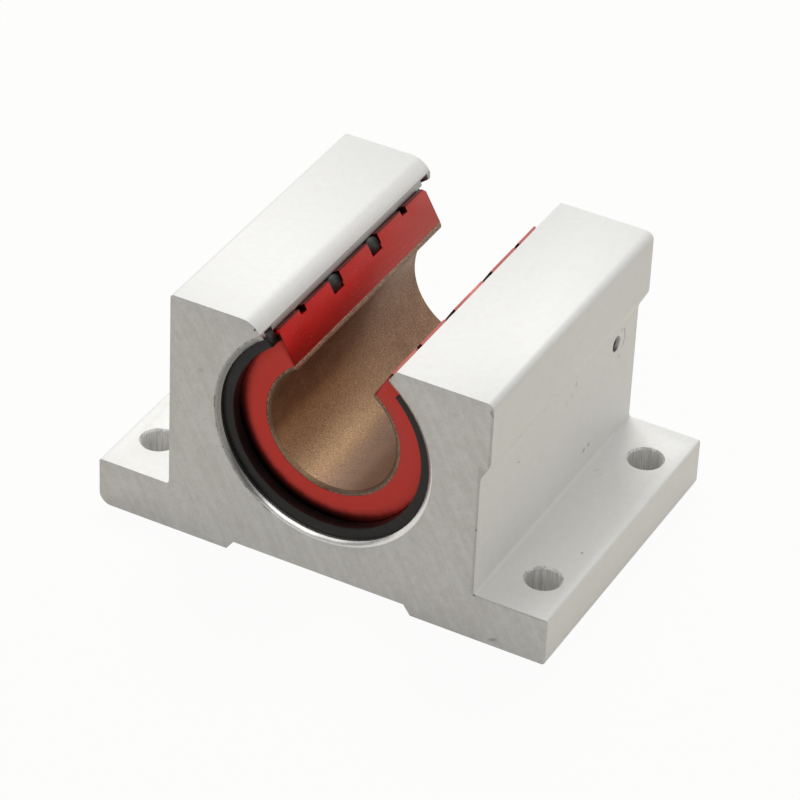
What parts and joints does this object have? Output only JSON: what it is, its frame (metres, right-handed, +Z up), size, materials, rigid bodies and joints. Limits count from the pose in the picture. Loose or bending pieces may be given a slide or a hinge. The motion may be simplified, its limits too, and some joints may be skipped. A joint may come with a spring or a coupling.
{
  "type": "linear bearing block",
  "caption": "Open linear bearing block: an extruded flanged housing with two jaws carries a split, lined plain bearing on seal rings, for a supported round shaft.",
  "frame": {"origin": "middle of the mounting face, halfway along the block", "axes": "+Y along the shaft bore, from the front face to the rear face; +X across the block to the banded side wall; +Z up from the mounting face to the jaws"},
  "size_m": [0.0698, 0.0478, 0.0391],
  "materials": {
    "anodised_aluminium": "clear anodised extrusion, satin, with milled end faces",
    "red_anodised_aluminium": "red anodised, satin",
    "bronze_filled_liner": "matt bronze brown with a fine metallic sparkle",
    "black_rubber": "matt black rubber",
    "black_retaining_ring": "satin black",
    "dark_steel": "black oxide"
  },
  "bodies": {
    "root": {"housing": "anodised_aluminium", "bearing_shell": "red_anodised_aluminium", "bearing_liner": "bronze_filled_liner", "front_seal_ring": "black_rubber", "rear_seal_ring": "black_rubber", "front_retaining_ring": "black_retaining_ring", "rear_retaining_ring": "black_retaining_ring", "set_screw": "dark_steel"}
  },
  "joints": []
}
